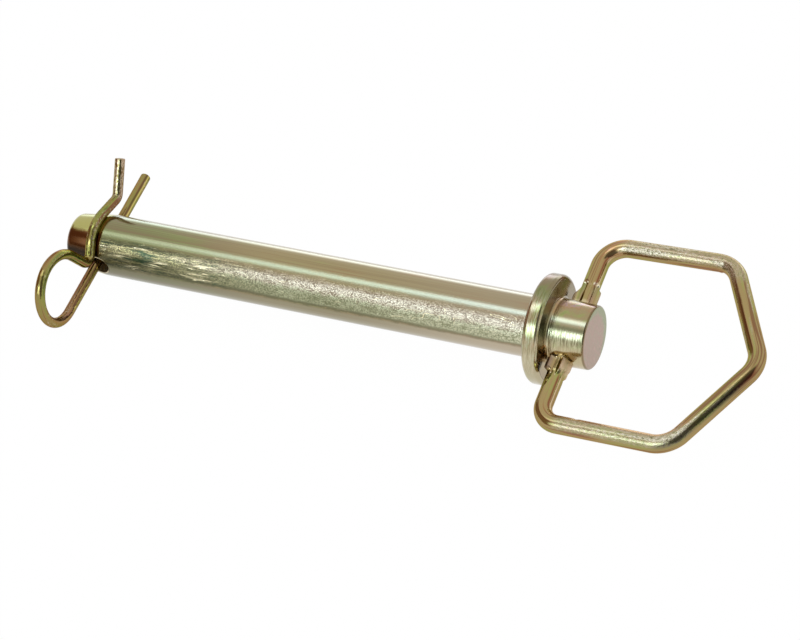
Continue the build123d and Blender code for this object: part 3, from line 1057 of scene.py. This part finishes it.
def press_marks(wire, size):
    """A small cut on the inner side of the lower arm, and a crease inside the upper shoulder."""
    nick_at, crease_at = wire.bends[3][1] + NICK_AT, wire.bends[1][0] + CREASE_AT
    for vert in wire.bm.verts:
        length, across, _ = vert[wire.unbent]
        inner = max(0.0, -across / (size.wire_d / 2))
        nick = NICK_DEPTH * smooth((0.75 - abs(length - nick_at)) / 0.3) * inner ** 3
        past = length - crease_at
        crease = CREASE_DEPTH * smooth(past / 0.4) * (1 - smooth((past - 0.5) / 7.0)) * inner ** 0.7
        vert.co -= wire.outward[vert] * (nick + crease)


class HITCH_OT_clip(bpy.types.Operator):
    """Bend the hairpin clip round the nose"""

    bl_idname = "hitch.clip"
    bl_label = "Hairpin clip"

    def execute(self, context):
        pin, size = sizes("pin"), sizes("clip")
        lean, roll = math.radians(size.lean), math.radians(size.leg_roll)
        leg = Vector((0, math.cos(roll), -math.sin(roll)))
        out = Vector((-math.sin(lean), math.cos(lean) * math.sin(roll), math.cos(lean) * math.cos(roll)))
        drawing = plane((size.leg_x, 0, size.leg_z), leg, out)
        axis = Vector((size.leg_z * math.sin(roll), -size.leg_z * math.cos(roll) * math.cos(lean)))
        wave_x = size.leg_x - pin.shank_d / 2 * math.sin(lean)
        hug = (pin.shank_d / 2 - (-pin.shank_l - wave_x) * math.tan(math.radians(pin.nose_taper))
               + size.wire_d / 2 + size.hug_gap)

        def go(start, length, heading):
            a = math.radians(heading)
            return Vector(start[:2]) + Vector((math.cos(a), math.sin(a))) * length

        half = math.radians((size.rise - size.fall) / 2)
        crest = go(axis, hug / math.cos(half), 90 + (size.rise + size.fall) / 2)
        dip, trough = go(crest, -size.rise_l, size.rise), go(crest, size.fall_l, size.fall)
        tip = go(trough, size.tip_l, size.flare)
        loop_end = go((-size.leg_tip, size.loop_r), size.loop_r, 270 - size.loop_turn)
        shoulder = go(loop_end, size.shoulder_l, 180 - size.loop_turn)
        wire = Wire(size.wire_d / 2, size.steps, (size.leg_tip, 0), 180, drawing)
        wire.run(2 * size.leg_tip, 2.0)
        wire.bend(-size.loop_turn, size.loop_r, 4.0)
        wire.through(((*shoulder, size.shoulder_r), (*dip, size.tight_r), (*crest, hug),
                      (*trough, size.tight_r), (*tip, 0)), 2.0, 5.0)
        wire.ends(0.35)
        finish_piece(wire.bm, "hairpin_wire", "clip", "hairpin_clip", ClipZinc().material)
        return {"FINISHED"}


# a soft box that runs along the pin: degrees over the pin from the back, half width, soft edge, where it
# starts and ends along the pin, and its brightness
Box = namedtuple("Box", "over half soft start end glow")
BOXES = (
    Box(103, 2.0, 11.0, (-0.66, -0.34), (0.0, 0.14), 2.0),
    Box(153, 9.0, 9.0, (-0.68, -0.56), (0.02, 0.14), 1.25),
    Box(154, 4.0, 8.0, (-0.50, -0.38), (-0.10, 0.10), 1.6),
    Box(148, 4.0, 6.0, (-0.30, -0.22), (0.14, 0.26), 2.6),
    Box(2, 8.0, 13.0, (-0.66, -0.46), (0.24, 0.36), 1.4),
)
WHITE, DIM_WALL, BROWN_WALL = (1.0, 1.0, 1.0), (0.22, 0.21, 0.21), (0.36, 0.22, 0.16)
COOL_LIGHT, PAPER = (0.82, 1.0, 1.2), (0.9, 0.9, 0.9)


def toward(turn, height):
    """A direction from its turn and height in degrees."""
    turn, height = math.radians(turn), math.radians(height)
    return Vector((math.cos(turn) * math.cos(height), math.sin(turn) * math.cos(height), math.sin(height)))


def soft_lamp(name, place, width, power):
    """A broad soft lamp that looks at the pin."""
    lamp = bpy.data.lights.new(name, "AREA")
    lamp.shape, lamp.size, lamp.energy = "SQUARE", width, power
    made = bpy.data.objects.new(name, lamp)
    bpy.context.scene.collection.objects.link(made)
    made.location = place
    made.rotation_euler = (-Vector(place)).to_track_quat("-Z", "Y").to_euler()
    made.visible_glossy = False


def studio_walls(world):
    """White surroundings with soft boxes, a dim gap in front and a dim brown gap at the nose's side."""
    walls = Nodes(world)
    camera, glossy, through = walls.outputs("ShaderNodeLightPath", "Is Camera Ray", "Is Glossy Ray",
                                            "Is Transmission Ray")
    way = walls.node("ShaderNodeTexCoord")
    _, y, z = walls.parts(way)
    along = walls.dot(way, pin_frame().to_3x3().col[0].normalized())
    over = walls.angle(z, y)
    # dim in front of the pin, and brown at the nose's side
    gap = walls.step(abs(walls.dot(way, toward(-134, 0))), 0.46, 0.32)
    gap = gap * walls.step(walls.dot(way, toward(-44, 37)), 0.76, 0.88)
    side = walls.step(walls.dot(way, toward(-160, 10)), 0.74, 0.84)
    wall = walls.mix(side, walls.mix(gap, WHITE, DIM_WALL), BROWN_WALL)
    glow = 0.0
    for box in BOXES:
        across = walls.step(abs(over - box.over), box.half + box.soft, box.half)
        glow = glow + across * walls.step(along, *box.start) * walls.step(along, *box.end[::-1]) * box.glow

    def light(colour, strength):
        if not isinstance(colour, Shade):
            colour = (*colour, 1.0)
        return walls.node("ShaderNodeBackground", None, {"Color": colour, "Strength": strength})

    seen = walls.node("ShaderNodeAddShader", None, {0: light(wall, 1.0), 1: light(COOL_LIGHT, glow)})
    mixed = walls.node("ShaderNodeMixShader", None, {0: glossy + through, 1: light(WHITE, 0.7), 2: seen})
    mixed = walls.node("ShaderNodeMixShader", None, {0: camera, 1: mixed, 2: light(WHITE, 1.0)})
    walls.node("ShaderNodeOutputWorld", None, {"Surface": mixed})


class HITCH_OT_stage(bpy.types.Operator):
    """Pale floor, soft lamps, white surroundings and the camera"""

    bl_idname = "hitch.stage"
    bl_label = "Stage"

    def execute(self, context):
        stage = sizes("stage")
        seat = pin_frame().translation
        bm = bmesh.new()
        bmesh.ops.create_grid(bm, x_segments=4, y_segments=4, size=stage.floor / 2)
        floor = to_object(bm, "floor")
        paper = bpy.data.materials.new("pale_floor")
        finish = Nodes(paper)
        camera, glossy, through = finish.outputs("ShaderNodeLightPath", "Is Camera Ray", "Is Glossy Ray",
                                                 "Is Transmission Ray")
        matt = finish.node("ShaderNodeBsdfDiffuse", None, {"Color": (*PAPER, 1.0)})
        glow = finish.node("ShaderNodeEmission", None, {"Color": (*WHITE, 1.0), "Strength": 1.0})
        # white to the camera and nearly so in the metal, with a trace of the shadow left
        white = camera * 0.99 + glossy * 0.8 + through * 0.99
        mixed = finish.node("ShaderNodeMixShader", None, {0: white, 1: matt, 2: glow})
        finish.node("ShaderNodeOutputMaterial", None, {"Surface": mixed})
        floor.data.materials.append(paper)

        context.scene.world = bpy.data.worlds.new("studio")
        studio_walls(context.scene.world)
        soft_lamp("key", place=(-0.3, -0.9, 1.6), width=1.6, power=14.0)
        soft_lamp("fill", place=(0.4, 1.0, 1.4), width=1.6, power=6.0)

        lens = bpy.data.cameras.new("camera")
        lens.sensor_width, lens.lens = 36.0, stage.camera_lens
        lens.clip_start, lens.clip_end = 0.05, 20.0
        camera = bpy.data.objects.new("camera", lens)
        context.scene.collection.objects.link(camera)
        camera.location = seat + Vector(stage.camera_at)
        camera.rotation_euler = stage.camera_turn
        context.scene.camera = camera
        context.scene.view_settings.view_transform = "Standard"
        return {"FINISHED"}


class HITCH_PT_looks(bpy.types.Panel):
    """Build steps and sizes of the hitch pin"""

    bl_idname = "HITCH_PT_looks"
    bl_label = "Hitch Pin"
    bl_space_type = "VIEW_3D"
    bl_region_type = "UI"
    bl_category = "Hitch Pin"

    def draw(self, context):
        for operator in STEPS:
            self.layout.operator(operator.bl_idname)
        for group in GROUPS:
            box = self.layout.box()
            settings = getattr(context.scene, "hitch_" + group)
            for name in settings.__annotations__:
                box.prop(settings, name)


GROUPS = {"pin": PinSizes, "handle": HandleSizes, "clip": ClipSizes, "stage": StageSizes,
          "plating": PlatingColours}
STEPS = (HITCH_OT_body, HITCH_OT_handle, HITCH_OT_clip, HITCH_OT_stage)
CLASSES = (*GROUPS.values(), *STEPS, HITCH_PT_looks)


def register():
    for made in CLASSES:
        bpy.utils.register_class(made)
    for name, group in GROUPS.items():
        setattr(bpy.types.Scene, "hitch_" + name, PointerProperty(type=group))


def unregister():
    for name in GROUPS:
        delattr(bpy.types.Scene, "hitch_" + name)
    for made in reversed(CLASSES):
        bpy.utils.unregister_class(made)


def main():
    register()
    for step in STEPS:
        area, name = step.bl_idname.split(".")
        getattr(getattr(bpy.ops, area), name)()
    bpy.context.view_layer.update()


if __name__ == "__main__":
    main()
